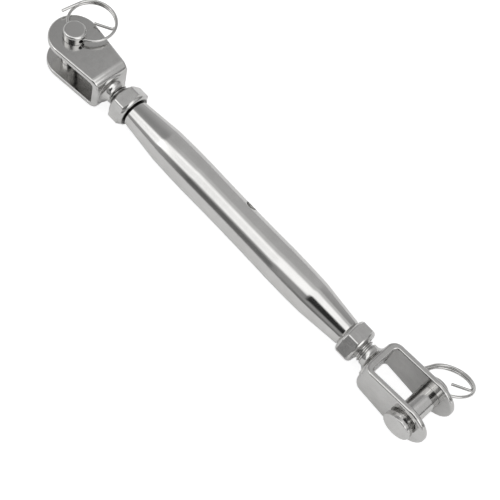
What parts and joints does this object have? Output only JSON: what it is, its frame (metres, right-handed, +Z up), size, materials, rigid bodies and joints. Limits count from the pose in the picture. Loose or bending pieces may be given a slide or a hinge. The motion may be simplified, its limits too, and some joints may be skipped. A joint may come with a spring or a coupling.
{
  "type": "shroud adjuster",
  "caption": "Closed-body rigging screw: a tapered tube with a right-hand and a left-hand threaded jaw, lock nuts, clevis pins and split rings.",
  "frame": {"origin": "middle of the tubular body, on the long axis, which is also the centre of the tommy-bar hole", "axes": "+X along the body towards the lower jaw, +Z up as the screw lies at rest with the upper clevis pin upright, +Y along the lower clevis pin from its head to its tail"},
  "size_m": [0.1883, 0.0348, 0.0217],
  "materials": {
    "polished_tube": "polished stainless steel",
    "polished_jaw": "polished stainless steel",
    "turned_nut": "bright stainless steel",
    "ground_pin": "ground stainless steel",
    "spring_wire": "drawn stainless spring wire"
  },
  "bodies": {
    "tube": {"body_tube": "polished_tube"},
    "upper_nut": {"upper_lock_nut": "turned_nut"},
    "upper_fork": {"upper_jaw": "polished_jaw"},
    "upper_pin": {"upper_clevis_pin": "ground_pin"},
    "upper_ring": {"upper_split_ring": "spring_wire"},
    "lower_nut": {"lower_lock_nut": "turned_nut"},
    "lower_fork": {"lower_jaw": "polished_jaw"},
    "lower_pin": {"lower_clevis_pin": "ground_pin"},
    "lower_ring": {"lower_split_ring": "spring_wire"}
  },
  "joints": [
    {"name": "upper_jaw_travel", "type": "slide", "parent": "tube", "child": "upper_nut", "axis": [-1, 0, 0], "range_m": [0, 0.03375]},
    {"name": "upper_jaw_turn", "type": "hinge", "parent": "upper_nut", "child": "upper_fork", "pos_m": [-0.056, 0, 0], "axis": [1, 0, 0], "range_deg": [0, 9720]},
    {"name": "upper_pin_turn", "type": "hinge", "parent": "upper_fork", "child": "upper_pin", "pos_m": [-0.0845, 0, 0], "axis": [0, 0, 1], "continuous": true},
    {"name": "upper_ring_swing", "type": "hinge", "parent": "upper_pin", "child": "upper_ring", "pos_m": [-0.0845, 0, 0.00957], "axis": [1, 0, 0], "range_deg": [0, 181]},
    {"name": "lower_jaw_travel", "type": "slide", "parent": "tube", "child": "lower_nut", "axis": [1, 0, 0], "range_m": [0, 0.03375]},
    {"name": "lower_jaw_turn", "type": "hinge", "parent": "lower_nut", "child": "lower_fork", "pos_m": [0.056, 0, 0], "axis": [1, 0, 0], "range_deg": [0, 9720]},
    {"name": "lower_pin_turn", "type": "hinge", "parent": "lower_fork", "child": "lower_pin", "pos_m": [0.0845, 0, 0], "axis": [0, 1, 0], "continuous": true},
    {"name": "lower_ring_swing", "type": "hinge", "parent": "lower_pin", "child": "lower_ring", "pos_m": [0.0845, 0.00897, 0], "axis": [0.9367, 0, 0.3502], "range_deg": [-60, 114]}
  ],
  "couplings": [
    {"joint": "upper_jaw_turn", "follows": "upper_jaw_travel", "rad_per_m": 5026.5},
    {"joint": "lower_jaw_turn", "follows": "lower_jaw_travel", "rad_per_m": 5026.5}
  ]
}
